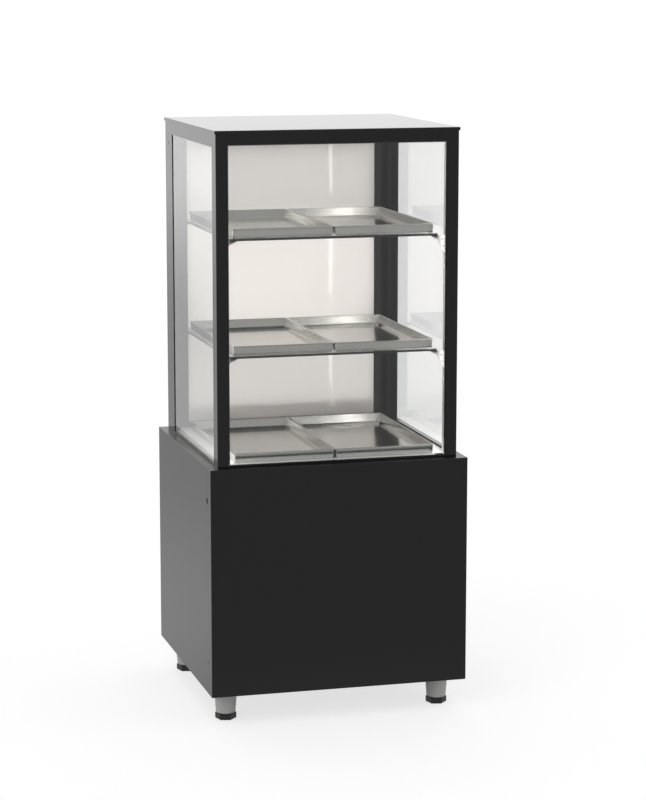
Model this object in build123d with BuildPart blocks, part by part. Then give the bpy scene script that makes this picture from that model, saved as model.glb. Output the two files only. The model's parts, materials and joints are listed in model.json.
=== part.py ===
"""Pastry display case: a sheet-steel base on four levelling legs, and on it a glazed box.

X runs across the width, Y from the shopper's side (negative) to the server's side, and
Z up from the floor. The origin is on the floor under the middle of the base.
Corner posts and rails hold three fixed panes in grooves, two glass shelves hang on
slotted uprights, and a framed door on pivot pins closes the server's side.
"""
from build123d import *
import os
from math import cos, radians, sin, tan

os.makedirs("parts", exist_ok=True)

# Overall sizes
base_width = 600
base_depth = 571
base_height = 521
leg_height = 71
case_height = 749
side_setback = 21
front_setback = 20
rear_setback = 13

# Base sheet metal
base_sheet = 2
bend_radius = 2
front_return = 28
seam_gap = 0.5
joggle_overlap = 10
joggle_tab = 20
hem_width = 6
flange_width = 25
rear_recess = 6.5
panel_gap = 0.5
top_edge_radius = 1
floor_flange = 20
floor_flange_gap = 4

# Legs and levelling feet
leg_inset_x = 48
leg_inset_y = 74
leg_top_diameter = 52
leg_foot_diameter = 45
leg_rim_height = 6
foot_across_corners = 48.5
foot_height = 15
foot_turn = -15
foot_chamfer = 2
stud_diameter = 10
stud_length = 40
stud_clearance = 0.1
stud_end_gap = 3

# Frame profiles of the glazed box
frame_thickness = 10
outer_lip = 1.2
glass_thickness = 4
glass_clearance = 0.2
glass_edge_gap = 1
groove_depth = 8
post_edge_radius = 1
front_stile_width = 27
side_stile_width = 38
rear_stile_width = 75
rear_bead_overlap = 15
front_rail_height = 31
side_rail_height = 37
sill_floor = 1.5
sill_lip = 4
rear_sill_height = 12
rear_header_height = 31

# Roof cap, ceiling and deck
roof_sheet = 2.5
roof_skirt = 5
roof_edge_radius = 1.2
ceiling_sheet = 2

# Rear door
door_inset = 4.5
door_thickness = 24
door_gap = 2
door_stile_width = 36
door_lip = 4
door_edge_radius = 3
seal_depth = 3
seal_inset = 0.5
stop_gap = 1.2
stop_lip = 3
stop_overlap = 6
pivot_inset_x = 6
pivot_inset_y = 5
pin_diameter = 6
pin_clearance = 0.05
pin_socket = 12
pin_reach = 9
bush_diameter = 10
bush_length = 12
bush_flange_diameter = 11
bush_flange = 1.7
bush_end = 1
pull_length = 180
pull_width = 20
pull_sheet = 2.5
pull_depth = 15
pull_return = 14
pull_edge_gap = 3

# Slotted uprights
upright_width = 20
upright_depth = 11
upright_sheet = 2
front_upright_setback = 34.5
rear_upright_setback = 52.5
slot_pitch = 52.6
slot_start = 16.6
slot_height = 12
slot_width = 5
middle_slot_count = 4
upper_slot_count = 9

# Shelf brackets and pads
bracket_sheet = 3
bracket_drop = 43.5
bracket_reach = 31.5
bracket_nose = 1.6
bracket_throat = 9
bracket_rise = 9.5
neck_height = 6
hook_drop = 5
hook_thickness = 2.5
hook_play = 0.3
pad_width = 8
pad_heel = 3.6
pad_tip = 0.6
pad_play = 0.5
hole_radius_large = 3.2
hole_in_large = 7
hole_down_large = 8.5
hole_radius_small = 2.6
hole_in_small = 4.5
hole_down_small = 23.5

# Shelves and trays
shelf_thickness = 5
shelf_end_gap = 16.5
shelf_front_gap = 31.5
shelf_rear_gap = 4.7
shelf_corner_radius = 5
shelf_edge_radius = 0.8
tray_end_gap = 7
tray_rear_gap = 26.1
tray_height = 22
tray_sheet = 1.2
tray_gap = 3
tray_corner_radius = 6
tray_floor_radius = 3
tray_rim_height = 4
tray_rim_width = 1.2
tray_rim_chamfer = 0.8
tray_draft = 5
tray_setback = 8
deck_tray_setback = 29.5

# Light channels
light_width = 12
light_depth = 6
light_wall = 1
light_edge_gap = 0.5
light_cover = 1.5

# Clip at the foot of the front pane
clip_thickness = 2
clip_width = 17
clip_gap = 1
clip_pad_width = 6
clip_depth = 11.5
clip_arm_depth = 6

# Switch, grommet and screws
switch_from_side = 70
switch_from_top = 60
bezel_width = 21
bezel_height = 28
bezel_flange = 2
bezel_flange_overlap = 2
bezel_body_depth = 12
bezel_wall = 2
panel_play = 0.1
rocker_width = 12
rocker_height = 18
rocker_play = 0.8
rocker_depth = 5
rocker_half_angle = 8
rocker_side_play = 0.3
rocker_draft = 1
rocker_pivot_depth = 2
trunnion_radius = 1
trunnion_length = 1
trunnion_clearance = 0.05
grommet_from_side = 70
grommet_from_floor = 60
grommet_bore = 12
grommet_neck = 20
grommet_flange = 26
grommet_lip = 2
screw_radius = 2
screw_head_radius = 4
screw_head_height = 2
screw_length = 8
screw_clearance = 0.05
drive_radius = 1.4
drive_depth = 1
side_screw_from_seam = 9.5
side_screw_low = 73
side_screw_high = 446
post_screw_from_rear = 36.5
post_screw_from_top = 59
panel_screw_from_end = 30

# Places worked out from the sizes
base_bottom = leg_height
base_top = base_bottom + base_height
base_x = base_width / 2
base_front = -base_depth / 2
base_rear = base_depth / 2
floor_top = base_bottom + base_sheet
panel_top = base_top - base_sheet
panel_height = base_height - base_sheet
panel_middle_z = (base_bottom + panel_top) / 2
return_x = base_x - hem_width
panel_screw_x = return_x - base_sheet - flange_width / 2
seam_y = base_front + front_return
rear_panel_face = base_rear - rear_recess
rear_panel_back = rear_panel_face - base_sheet
rear_flange_back = rear_panel_back - base_sheet

case_top = base_top + case_height
case_x = base_x - side_setback
case_front = base_front + front_setback
case_rear = base_rear - rear_setback
frame_top = case_top - roof_sheet
groove = glass_thickness + 2 * glass_clearance
bead = outer_lip + groove
inner_x = case_x - frame_thickness
inner_front = case_front + frame_thickness
window_x = case_x - front_stile_width
window_top = case_top - front_rail_height
side_window_front = case_front + side_stile_width
side_window_rear = case_rear - rear_stile_width
side_window_top = case_top - side_rail_height
bead_rear = side_window_rear - rear_bead_overlap
glass_bottom = base_top + sill_floor
deck_top = base_top + sill_lip

door_rear = case_rear - door_inset
door_front = door_rear - door_thickness
door_x = inner_x - door_gap
sill_top = base_top + rear_sill_height
header_bottom = case_top - rear_header_height
door_bottom = sill_top + door_gap
door_top = header_bottom - door_gap
door_pane_front = door_front + outer_lip + glass_clearance
seal_width = door_lip - 2 * seal_inset
stop_back = door_front - seal_depth - stop_gap
stop_front = stop_back - stop_lip
door_middle_z = (door_bottom + door_top) / 2
door_height = door_top - door_bottom
pivot_x = -(door_x - pivot_inset_x)
pivot_y = door_rear - pivot_inset_y

upright_face = inner_x - upright_depth
front_upright_y = case_front + front_upright_setback
rear_upright_y = case_rear - rear_upright_setback
slot_bottom_z = deck_top + slot_start
shelf_x = upright_face - shelf_end_gap
shelf_front = case_front + shelf_front_gap
shelf_rear = stop_front - shelf_rear_gap
middle_level = slot_bottom_z + middle_slot_count * slot_pitch + bracket_rise
upper_level = slot_bottom_z + upper_slot_count * slot_pitch + bracket_rise
tray_width = shelf_x - tray_end_gap - tray_gap / 2
tray_depth = shelf_rear - shelf_front - tray_setback - tray_rear_gap
pad_start = shelf_end_gap - pad_play
light_back = inner_front + light_depth

switch_x = base_x - switch_from_side
switch_z = base_top - switch_from_top
bezel_face = rear_panel_face + bezel_flange
bezel_body_x = bezel_width / 2 - bezel_flange_overlap
bezel_body_z = bezel_height / 2 - bezel_flange_overlap
grommet_x = grommet_from_side - base_x
grommet_z = base_bottom + grommet_from_floor

sides = ((-1, "left"), (1, "right"))
levels = {"middle": middle_level, "upper": upper_level}
top_aligned = (Align.CENTER, Align.CENTER, Align.MAX)
bottom_aligned = (Align.CENTER, Align.CENTER, Align.MIN)


def save(name, builder):
    """Labels a finished piece and writes it as its own file."""
    builder.part.label = name
    export_step(builder.part, f"parts/{name}.step")


def profile(plane, points):
    """Makes a closed straight-sided section on a plane."""
    with BuildSketch(plane) as section:
        with BuildLine():
            Polyline(*points, close=True)
        make_face()
    return section.sketch


def folded(plane, points, sheet, radius):
    """Makes the section of a folded sheet from the points of its middle line."""
    with BuildSketch(plane) as section:
        with BuildLine() as middle:
            FilletPolyline(*points, radius=radius - sheet / 2)
        trace(middle.line, line_width=sheet)
    return section.sketch


def across(start):
    """Gives the upright XZ plane at a depth. Extruding by a negative amount goes towards +Y."""
    return Plane.XZ.offset(-start)


def block(x_span, y_span, z_span, mode=Mode.ADD):
    """Adds a plain rectangular piece between the ends given along each axis."""
    spans = (x_span, y_span, z_span)
    with Locations(tuple((low + high) / 2 for low, high in spans)):
        Box(*(abs(high - low) for low, high in spans), mode=mode)


def drive_recess(plane):
    """Sinks a hexagonal drive into a screw head whose top lies on the plane."""
    with BuildSketch(plane) as drive:
        RegularPolygon(drive_radius, 6)
    extrude(drive.sketch, amount=-drive_depth, mode=Mode.SUBTRACT)


def flat_screw(centre, outward):
    """Adds a countersunk screw whose head lies flush with the face at its centre."""
    plane = Plane(centre, z_dir=outward)
    cone_height = screw_head_radius - screw_radius
    with Locations(plane):
        Cone(screw_radius, screw_head_radius, cone_height, align=top_aligned)
    with Locations(plane.offset(-cone_height)):
        Cylinder(screw_radius, screw_length - cone_height, align=top_aligned)
    drive_recess(plane)


def pan_screw(centre, outward):
    """Adds a flat-topped round-head screw that clamps the face at its centre."""
    plane = Plane(centre, z_dir=outward)
    with Locations(plane):
        Cylinder(screw_head_radius, screw_head_height, align=bottom_aligned)
        Cylinder(screw_radius, screw_length, align=top_aligned)
    drive_recess(plane.offset(screw_head_height))


def flat_screw_hole(centre, outward):
    """Cuts the countersunk hole of a flush screw."""
    with Locations(Plane(centre, z_dir=outward)):
        CounterSinkHole(
            screw_radius + screw_clearance,
            screw_head_radius + screw_clearance,
            depth=screw_length + screw_clearance,
            counter_sink_angle=90,
        )


def pan_screw_hole(centre, outward):
    """Cuts the plain hole of a round-head screw."""
    with Locations(Plane(centre, z_dir=outward)):
        Hole(screw_radius + screw_clearance, depth=screw_length + screw_clearance)


# Places of the screws, each with the direction its head faces
side_screws = [
    ((side * base_x, seam_y + side_screw_from_seam, base_bottom + height), (side, 0, 0))
    for side, _ in sides
    for height in (side_screw_low, side_screw_high)
]
post_screws = [
    ((side * case_x, case_rear - post_screw_from_rear, case_top - post_screw_from_top), (side, 0, 0))
    for side, _ in sides
]
panel_screws = [
    ((side * panel_screw_x, rear_panel_face, height), (0, 1, 0))
    for side, _ in sides
    for height in (base_bottom + panel_screw_from_end, panel_middle_z, panel_top - panel_screw_from_end)
]

# Base: floor pan with upturned flanges
with BuildPart() as base_floor:
    floor_x = base_x - base_sheet
    flange_x = return_x - base_sheet - flange_width
    block((-floor_x, floor_x), (base_front + base_sheet, rear_flange_back), (base_bottom, floor_top))
    block((-flange_x, flange_x), (rear_flange_back, rear_panel_back), (base_bottom, floor_top + floor_flange))
    for side, _ in sides:
        block(
            (side * floor_x, side * (floor_x - base_sheet)),
            (base_front + base_sheet + floor_flange_gap, rear_flange_back - floor_flange_gap),
            (floor_top, floor_top + floor_flange),
        )
save("base_floor", base_floor)

# Base: side panels, each folded into a frame for the rear service panel
for side, word in sides:
    with BuildPart() as base_side:
        mid_x = base_x - base_sheet / 2
        path = [
            (side * mid_x, seam_y + seam_gap),
            (side * mid_x, base_rear - base_sheet / 2),
            (side * (return_x - base_sheet / 2), base_rear - base_sheet / 2),
            (side * (return_x - base_sheet / 2), rear_panel_back - base_sheet / 2),
            (side * (return_x - base_sheet - flange_width), rear_panel_back - base_sheet / 2),
        ]
        section = folded(Plane.XY.offset(base_bottom), path, base_sheet, bend_radius)
        extrude(section, amount=panel_height)
        for centre, outward in side_screws:
            flat_screw_hole(centre, outward)
        for centre, outward in panel_screws:
            pan_screw_hole(centre, outward)
    save(f"base_side_{word}", base_side)

# Base: front panel, folded round both corners, with tabs behind the side panels
with BuildPart() as base_front_panel:
    mid_x = base_x - base_sheet / 2
    mid_y = base_front + base_sheet / 2
    path = [(-mid_x, seam_y), (-mid_x, mid_y), (mid_x, mid_y), (mid_x, seam_y)]
    extrude(folded(Plane.XY.offset(base_bottom), path, base_sheet, bend_radius), amount=panel_height)
    for side, _ in sides:
        block(
            (side * (base_x - base_sheet), side * (base_x - 2 * base_sheet)),
            (seam_y - joggle_overlap, seam_y + joggle_tab),
            (floor_top + floor_flange + floor_flange_gap, panel_top - floor_flange_gap),
        )
    for centre, outward in side_screws:
        flat_screw_hole(centre, outward)
save("base_front_panel", base_front_panel)

# Base: top sheet that carries the glazed box
with BuildPart() as base_top_sheet:
    block((-base_x, base_x), (base_front, base_rear), (panel_top, base_top))
    fillet(base_top_sheet.edges().group_by(Axis.Z)[-1], top_edge_radius)
    flange_x = return_x - base_sheet - flange_width
    block((-flange_x, flange_x), (rear_flange_back, rear_panel_back), (panel_top - flange_width, panel_top))
save("base_top_sheet", base_top_sheet)

# Base: rear service panel, set into its frame, with the holes of the switch and the grommet
with BuildPart() as base_rear_panel:
    panel_x = return_x - base_sheet - panel_gap
    panel_span = (base_bottom + panel_gap, panel_top - panel_gap)
    block((-panel_x, panel_x), (rear_panel_back, rear_panel_face), panel_span)
    for centre, outward in panel_screws:
        pan_screw_hole(centre, outward)
    block(
        (switch_x - bezel_body_x - panel_play, switch_x + bezel_body_x + panel_play),
        (rear_panel_back, rear_panel_face),
        (switch_z - bezel_body_z - panel_play, switch_z + bezel_body_z + panel_play),
        mode=Mode.SUBTRACT,
    )
    with Locations(Plane((grommet_x, rear_panel_face, grommet_z), z_dir=(0, 1, 0))):
        Hole(grommet_neck / 2, depth=base_sheet)
save("base_rear_panel", base_rear_panel)

# Legs: tapered bodies with a blind bore for the levelling stud
for side_y, end_word in ((-1, "front"), (1, "rear")):
    for side, word in sides:
        leg_x = side * (base_x - leg_inset_x)
        leg_y = side_y * (base_depth / 2 - leg_inset_y)
        leg_plane = Plane((leg_x, leg_y, 0), x_dir=(1, 0, 0), z_dir=(0, -1, 0))
        bore = stud_diameter / 2 + stud_clearance
        bore_top = foot_height + stud_length + stud_end_gap
        with BuildPart() as leg:
            outline = [
                (bore, foot_height),
                (leg_foot_diameter / 2 - foot_chamfer, foot_height),
                (leg_foot_diameter / 2, foot_height + foot_chamfer),
                (leg_top_diameter / 2, leg_height - leg_rim_height),
                (leg_top_diameter / 2, leg_height),
                (0, leg_height),
                (0, bore_top),
                (bore, bore_top),
            ]
            revolve(profile(leg_plane, outline), axis=Axis((leg_x, leg_y, 0), (0, 0, 1)))
        save(f"leg_{end_word}_{word}", leg)

        with BuildPart() as foot:
            with BuildSketch(Plane((leg_x, leg_y, 0))):
                RegularPolygon(foot_across_corners / 2, 6, rotation=foot_turn)
            extrude(amount=foot_height)
            chamfer(foot.edges().group_by(Axis.Z)[0], foot_chamfer)
            chamfer(foot.edges().group_by(Axis.Z)[-1], foot_chamfer / 2)
            with Locations((leg_x, leg_y, foot_height)):
                Cylinder(stud_diameter / 2, stud_length, align=bottom_aligned)
            chamfer(foot.edges().group_by(Axis.Z)[-1], foot_chamfer / 2)
        save(f"foot_{end_word}_{word}", foot)

# Glazed box: front corner posts, one groove for the front pane and one for the side pane
for side, word in sides:
    with BuildPart() as front_post:
        outline = [
            (case_x, case_front),
            (case_x, side_window_front),
            (case_x - outer_lip, side_window_front),
            (case_x - outer_lip, side_window_front - groove_depth),
            (case_x - bead, side_window_front - groove_depth),
            (case_x - bead, side_window_front),
            (inner_x, side_window_front),
            (inner_x, inner_front),
            (window_x, inner_front),
            (window_x, case_front + bead),
            (window_x + groove_depth, case_front + bead),
            (window_x + groove_depth, case_front + outer_lip),
            (window_x, case_front + outer_lip),
            (window_x, case_front),
        ]
        section = profile(Plane.XY.offset(base_top), [(side * x, y) for x, y in outline])
        extrude(section, amount=frame_top - base_top)
        corner = (side * case_x, case_front, base_top)
        fillet(front_post.edges().filter_by(Axis.Z).sort_by_distance(corner)[0], post_edge_radius)
    save(f"post_front_{word}", front_post)

# Glazed box: rear posts, flat and deep, with a groove facing the side pane
for side, word in sides:
    with BuildPart() as rear_post:
        outline = [
            (case_x, case_rear),
            (inner_x, case_rear),
            (inner_x, bead_rear),
            (case_x - bead, bead_rear),
            (case_x - bead, side_window_rear + groove_depth),
            (case_x - outer_lip, side_window_rear + groove_depth),
            (case_x - outer_lip, side_window_rear),
            (case_x, side_window_rear),
        ]
        section = profile(Plane.XY.offset(base_top), [(side * x, y) for x, y in outline])
        extrude(section, amount=frame_top - base_top)
        corner = (side * case_x, case_rear, base_top)
        fillet(rear_post.edges().filter_by(Axis.Z).sort_by_distance(corner)[0], post_edge_radius)
        for centre, outward in post_screws:
            flat_screw_hole(centre, outward)
    save(f"post_rear_{word}", rear_post)

# Glazed box: side rails above and below each side pane
for side, word in sides:
    upper_outline = [
        (case_x, frame_top),
        (case_x, side_window_top),
        (case_x - outer_lip, side_window_top),
        (case_x - outer_lip, side_window_top + groove_depth),
        (case_x - bead, side_window_top + groove_depth),
        (case_x - bead, side_window_top),
        (inner_x, side_window_top),
        (inner_x, frame_top),
    ]
    lower_outline = [
        (case_x, base_top),
        (case_x, deck_top),
        (case_x - outer_lip, deck_top),
        (case_x - outer_lip, glass_bottom),
        (case_x - bead, glass_bottom),
        (case_x - bead, deck_top),
        (inner_x, deck_top),
        (inner_x, base_top),
    ]
    for place, outline in (("top", upper_outline), ("bottom", lower_outline)):
        with BuildPart() as side_rail:
            section = profile(across(side_window_front), [(side * x, z) for x, z in outline])
            extrude(section, amount=side_window_front - side_window_rear)
            block(
                (side * inner_x, side * (case_x - bead)),
                (bead_rear, side_window_rear),
                (base_top, frame_top),
                mode=Mode.SUBTRACT,
            )
        save(f"rail_{place}_{word}", side_rail)

# Glazed box: front rails above and below the front pane
with BuildPart() as rail_top_front:
    outline = [
        (case_front, frame_top),
        (case_front, window_top),
        (case_front + outer_lip, window_top),
        (case_front + outer_lip, window_top + groove_depth),
        (case_front + bead, window_top + groove_depth),
        (case_front + bead, window_top),
        (inner_front, window_top),
        (inner_front, frame_top),
    ]
    extrude(profile(Plane.YZ.offset(-window_x), outline), amount=2 * window_x)
save("rail_top_front", rail_top_front)

with BuildPart() as rail_bottom_front:
    outline = [
        (case_front, base_top),
        (case_front, deck_top),
        (case_front + outer_lip, deck_top),
        (case_front + outer_lip, glass_bottom),
        (case_front + bead, glass_bottom),
        (case_front + bead, deck_top),
        (inner_front, deck_top),
        (inner_front, base_top),
    ]
    extrude(profile(Plane.YZ.offset(-window_x), outline), amount=2 * window_x)
save("rail_bottom_front", rail_bottom_front)

# Glazed box: header and sill of the rear door, each with a stop lip and a bush socket
header_outline = [
    (case_rear, frame_top),
    (case_rear, header_bottom),
    (stop_back, header_bottom),
    (stop_back, header_bottom - stop_overlap),
    (stop_front, header_bottom - stop_overlap),
    (stop_front, frame_top),
]
sill_outline = [
    (case_rear, base_top),
    (case_rear, sill_top),
    (stop_back, sill_top),
    (stop_back, sill_top + stop_overlap),
    (stop_front, sill_top + stop_overlap),
    (stop_front, base_top),
]
for place, outline, bush_z, way in (
    ("rail_top_rear", header_outline, header_bottom, -1),
    ("rail_bottom_rear", sill_outline, sill_top, 1),
):
    with BuildPart() as rear_rail:
        extrude(profile(Plane.YZ.offset(-inner_x), outline), amount=2 * inner_x)
        with Locations(Plane((pivot_x, pivot_y, bush_z), z_dir=(0, 0, way))):
            Hole(bush_diameter / 2, depth=bush_length)
    save(place, rear_rail)

# Glazed box: fixed panes, each standing on its sill
pane_reach = groove_depth - glass_edge_gap
with BuildPart() as glass_front:
    pane_x = window_x + pane_reach
    pane_front = case_front + outer_lip + glass_clearance
    pane_top = window_top + pane_reach
    block((-pane_x, pane_x), (pane_front, pane_front + glass_thickness), (glass_bottom, pane_top))
save("glass_front", glass_front)

for side, word in sides:
    with BuildPart() as glass_side:
        pane_face = case_x - outer_lip - glass_clearance
        block(
            (side * pane_face, side * (pane_face - glass_thickness)),
            (side_window_front - pane_reach, side_window_rear + pane_reach),
            (glass_bottom, side_window_top + pane_reach),
        )
    save(f"glass_{word}", glass_side)

# Glazed box: roof cap, ceiling sheet and deck
with BuildPart() as roof:
    cap_x = case_x + roof_sheet
    block(
        (-cap_x, cap_x),
        (case_front - roof_sheet, case_rear + roof_sheet),
        (frame_top - roof_skirt, case_top),
    )
    fillet(roof.edges().filter_by(Axis.Z), roof_edge_radius)
    fillet(roof.edges().group_by(Axis.Z)[-1], roof_edge_radius)
    block((-case_x, case_x), (case_front, case_rear), (frame_top - roof_skirt, frame_top), mode=Mode.SUBTRACT)
save("roof", roof)

with BuildPart() as ceiling:
    block((-inner_x, inner_x), (inner_front, stop_front), (window_top, window_top + ceiling_sheet))
save("ceiling", ceiling)

with BuildPart() as deck:
    block((-inner_x, inner_x), (inner_front, stop_front), (base_top, deck_top))
save("deck", deck)

# Rear door: its white pane covers the rails from the inside, held in the stiles and behind two lips
with BuildPart() as door_frame:
    door_window_x = door_x - door_stile_width
    pane_slot_front = door_pane_front - glass_clearance
    pane_slot_back = pane_slot_front + groove
    block((-door_x, door_x), (door_front, door_rear), (door_bottom, door_top))
    block(
        (-door_window_x, door_window_x),
        (door_front, pane_slot_front),
        (door_bottom + door_lip, door_top - door_lip),
        mode=Mode.SUBTRACT,
    )
    block(
        (-door_window_x, door_window_x),
        (pane_slot_back, door_rear),
        (door_bottom + door_stile_width, door_top - door_stile_width),
        mode=Mode.SUBTRACT,
    )
    rear_edges = door_frame.edges().filter_by(Axis.Z).group_by(Axis.Y)[-1].sort_by(Axis.X)
    fillet([rear_edges[0], rear_edges[-1]], door_edge_radius)
    block(
        (-door_window_x - groove_depth, door_window_x + groove_depth),
        (pane_slot_front, pane_slot_back),
        (door_bottom + sill_floor, door_top - sill_floor),
        mode=Mode.SUBTRACT,
    )
    for pin_z, way in ((door_top, 1), (door_bottom, -1)):
        with Locations(Plane((pivot_x, pivot_y, pin_z), z_dir=(0, 0, way))):
            Hole(pin_diameter / 2, depth=pin_socket)
save("door_frame", door_frame)

with BuildPart() as door_glass:
    pane_x = door_window_x + pane_reach
    block(
        (-pane_x, pane_x),
        (door_pane_front, door_pane_front + glass_thickness),
        (door_bottom + sill_floor, door_top - sill_floor - glass_edge_gap),
    )
save("door_glass", door_glass)

with BuildPart() as door_seal:
    with BuildSketch(across(door_front)):
        with Locations((0, door_middle_z)):
            Rectangle(2 * (door_x - seal_inset), door_height - 2 * seal_inset)
            Rectangle(
                2 * (door_x - seal_inset - seal_width),
                door_height - 2 * (seal_inset + seal_width),
                mode=Mode.SUBTRACT,
            )
    extrude(amount=seal_depth)
    chamfer(door_seal.faces().sort_by(Axis.Y)[0].edges(), seal_width / 5)
save("door_seal", door_seal)

with BuildPart() as door_pins:
    for pin_z, way in ((door_top, 1), (door_bottom, -1)):
        with Locations(Plane((pivot_x, pivot_y, pin_z), z_dir=(0, 0, way))):
            Cylinder(pin_diameter / 2, pin_socket, align=top_aligned)
            Cylinder(pin_diameter / 2, pin_reach, align=bottom_aligned)
save("door_pins", door_pins)

with BuildPart() as hinge_bushes:
    for bush_z, way in ((header_bottom, -1), (sill_top, 1)):
        with Locations(Plane((pivot_x, pivot_y, bush_z), z_dir=(0, 0, way))):
            Cylinder(bush_diameter / 2, bush_length, align=top_aligned)
            Cylinder(bush_flange_diameter / 2, bush_flange, align=bottom_aligned)
        with Locations(Plane((pivot_x, pivot_y, bush_z + way * bush_flange), z_dir=(0, 0, way))):
            Hole(pin_diameter / 2 + pin_clearance, depth=bush_flange + bush_length - bush_end)
save("hinge_bushes", hinge_bushes)

with BuildPart() as door_pull:
    pull_outer = door_x - pull_edge_gap
    path = [
        (pull_outer, door_rear + pull_sheet / 2),
        (pull_outer - pull_width + pull_sheet / 2, door_rear + pull_sheet / 2),
        (pull_outer - pull_width + pull_sheet / 2, door_rear + pull_depth - pull_sheet / 2),
        (pull_outer - pull_width + pull_return, door_rear + pull_depth - pull_sheet / 2),
    ]
    section = folded(Plane.XY.offset(door_middle_z - pull_length / 2), path, pull_sheet, pull_sheet)
    extrude(section, amount=pull_length)
save("door_pull", door_pull)

# Slotted uprights: channels open towards the posts, slotted at an even pitch
channel_outline = [
    (upright_face, -upright_width / 2),
    (inner_x, -upright_width / 2),
    (inner_x, upright_sheet - upright_width / 2),
    (upright_face + upright_sheet, upright_sheet - upright_width / 2),
    (upright_face + upright_sheet, upright_width / 2 - upright_sheet),
    (inner_x, upright_width / 2 - upright_sheet),
    (inner_x, upright_width / 2),
    (upright_face, upright_width / 2),
]
slot_count = int((window_top - slot_bottom_z) // slot_pitch) + 1
slot_middle_z = slot_bottom_z + (slot_count - 1) * slot_pitch / 2
for upright_y, end_word in ((front_upright_y, "front"), (rear_upright_y, "rear")):
    for side, word in sides:
        with BuildPart() as upright:
            outline = [(side * x, upright_y + y) for x, y in channel_outline]
            extrude(profile(Plane.XY.offset(deck_top), outline), amount=window_top - deck_top)
            face = Plane((side * upright_face, upright_y, slot_middle_z), x_dir=(0, 1, 0), z_dir=(side, 0, 0))
            with BuildSketch(face) as slots:
                with GridLocations(slot_width, slot_pitch, 1, slot_count):
                    Rectangle(slot_width, slot_height)
            extrude(slots.sketch, amount=upright_sheet, mode=Mode.SUBTRACT)
        save(f"upright_{end_word}_{word}", upright)

# Shelf brackets: hooked plates with a sloping tongue, and a rubber wedge on each tongue.
# Their sections are drawn inwards from the face of the upright and down from the shelf.
bracket_outline = [
    (0, 0),
    (pad_start, 0),
    (pad_start, -pad_heel),
    (bracket_reach, -pad_tip),
    (bracket_reach, -pad_tip - bracket_nose),
    (pad_start, -bracket_throat),
    (0, -bracket_drop),
]
neck_bottom = -bracket_rise - slot_height / 2
hook_back = -upright_sheet - hook_play
hook_outline = [
    (0, neck_bottom),
    (hook_back, neck_bottom),
    (hook_back, neck_bottom - hook_drop),
    (hook_back - hook_thickness, neck_bottom - hook_drop),
    (hook_back - hook_thickness, neck_bottom + neck_height),
    (0, neck_bottom + neck_height),
]
pad_outline = [(pad_start, 0), (bracket_reach, 0), (bracket_reach, -pad_tip), (pad_start, -pad_heel)]
holes = (
    (hole_in_large, hole_down_large, hole_radius_large),
    (hole_in_small, hole_down_small, hole_radius_small),
)


def corner_planes(level):
    """Gives the four planes of a shelf's brackets, with x inwards from the upright and y up."""
    return [
        Plane((side * upright_face, upright_y, level), x_dir=(-side, 0, 0), z_dir=(0, side, 0))
        for side, _ in sides
        for upright_y in (front_upright_y, rear_upright_y)
    ]


for level_name, level in levels.items():
    with BuildPart() as brackets:
        for plane in corner_planes(level):
            for outline in (bracket_outline, hook_outline):
                extrude(profile(plane, outline), amount=bracket_sheet / 2, both=True)
            for inwards, down, radius in holes:
                with Locations(plane * Location((inwards, -down, 0))):
                    Cylinder(radius, 2 * bracket_sheet, mode=Mode.SUBTRACT)
    save(f"brackets_{level_name}", brackets)

with BuildPart() as bracket_pads:
    for level in levels.values():
        for plane in corner_planes(level):
            extrude(profile(plane, pad_outline), amount=pad_width / 2, both=True)
save("bracket_pads", bracket_pads)

# Glass shelves with rounded corners and ground edges
for level_name, level in levels.items():
    with BuildPart() as shelf:
        with BuildSketch(Plane.XY.offset(level)):
            with Locations((0, (shelf_front + shelf_rear) / 2)):
                RectangleRounded(2 * shelf_x, shelf_rear - shelf_front, shelf_corner_radius)
        extrude(amount=shelf_thickness)
        chamfer(shelf.edges().group_by(Axis.Z)[0], shelf_edge_radius)
        chamfer(shelf.edges().group_by(Axis.Z)[-1], shelf_edge_radius)
    save(f"shelf_{level_name}", shelf)

# Trays: drawn pans with sloping walls and a folded rim, two side by side on the deck and each shelf
tiers = {
    "bottom": (deck_top, case_front + deck_tray_setback),
    "middle": (middle_level + shelf_thickness, shelf_front + tray_setback),
    "upper": (upper_level + shelf_thickness, shelf_front + tray_setback),
}
tray_lean = tan(radians(tray_draft))
tray_wall = tray_sheet / cos(radians(tray_draft))
body_width = tray_width - 2 * tray_rim_width
body_depth = tray_depth - 2 * tray_rim_width


def pan_shape(centre, low, high, inset, foot_radius):
    """A block with a rounded foot that widens upwards by the trays' draft, to inset inside their body."""
    narrowing = inset + (high - low) * tray_lean
    with BuildPart() as shape:
        with BuildSketch(Plane.XY.offset(low)):
            with Locations(centre):
                foot_width = body_width - 2 * narrowing
                foot_depth = body_depth - 2 * narrowing
                RectangleRounded(foot_width, foot_depth, tray_corner_radius - narrowing)
        extrude(amount=high - low, taper=-tray_draft)
        fillet(shape.edges().group_by(Axis.Z)[0], foot_radius)
    return shape.part


for tier, (tray_bottom, tray_front) in tiers.items():
    for side, word in sides:
        centre = (side * (tray_width + tray_gap) / 2, tray_front + tray_depth / 2)
        outside = pan_shape(centre, tray_bottom, tray_bottom + tray_height, 0, tray_floor_radius)
        inside = pan_shape(
            centre,
            tray_bottom + tray_sheet,
            tray_bottom + tray_height,
            tray_wall,
            tray_floor_radius - tray_sheet,
        )
        with BuildPart() as tray:
            add(outside)
            with BuildSketch(Plane.XY.offset(tray_bottom + tray_height - tray_rim_height)):
                with Locations(centre):
                    RectangleRounded(tray_width, tray_depth, tray_corner_radius + tray_rim_width)
            extrude(amount=tray_rim_height)
            add(inside, mode=Mode.SUBTRACT)
            chamfer(tray.edges().group_by(Axis.Z)[-1], tray_rim_chamfer)
        save(f"tray_{tier}_{word}", tray)

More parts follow.
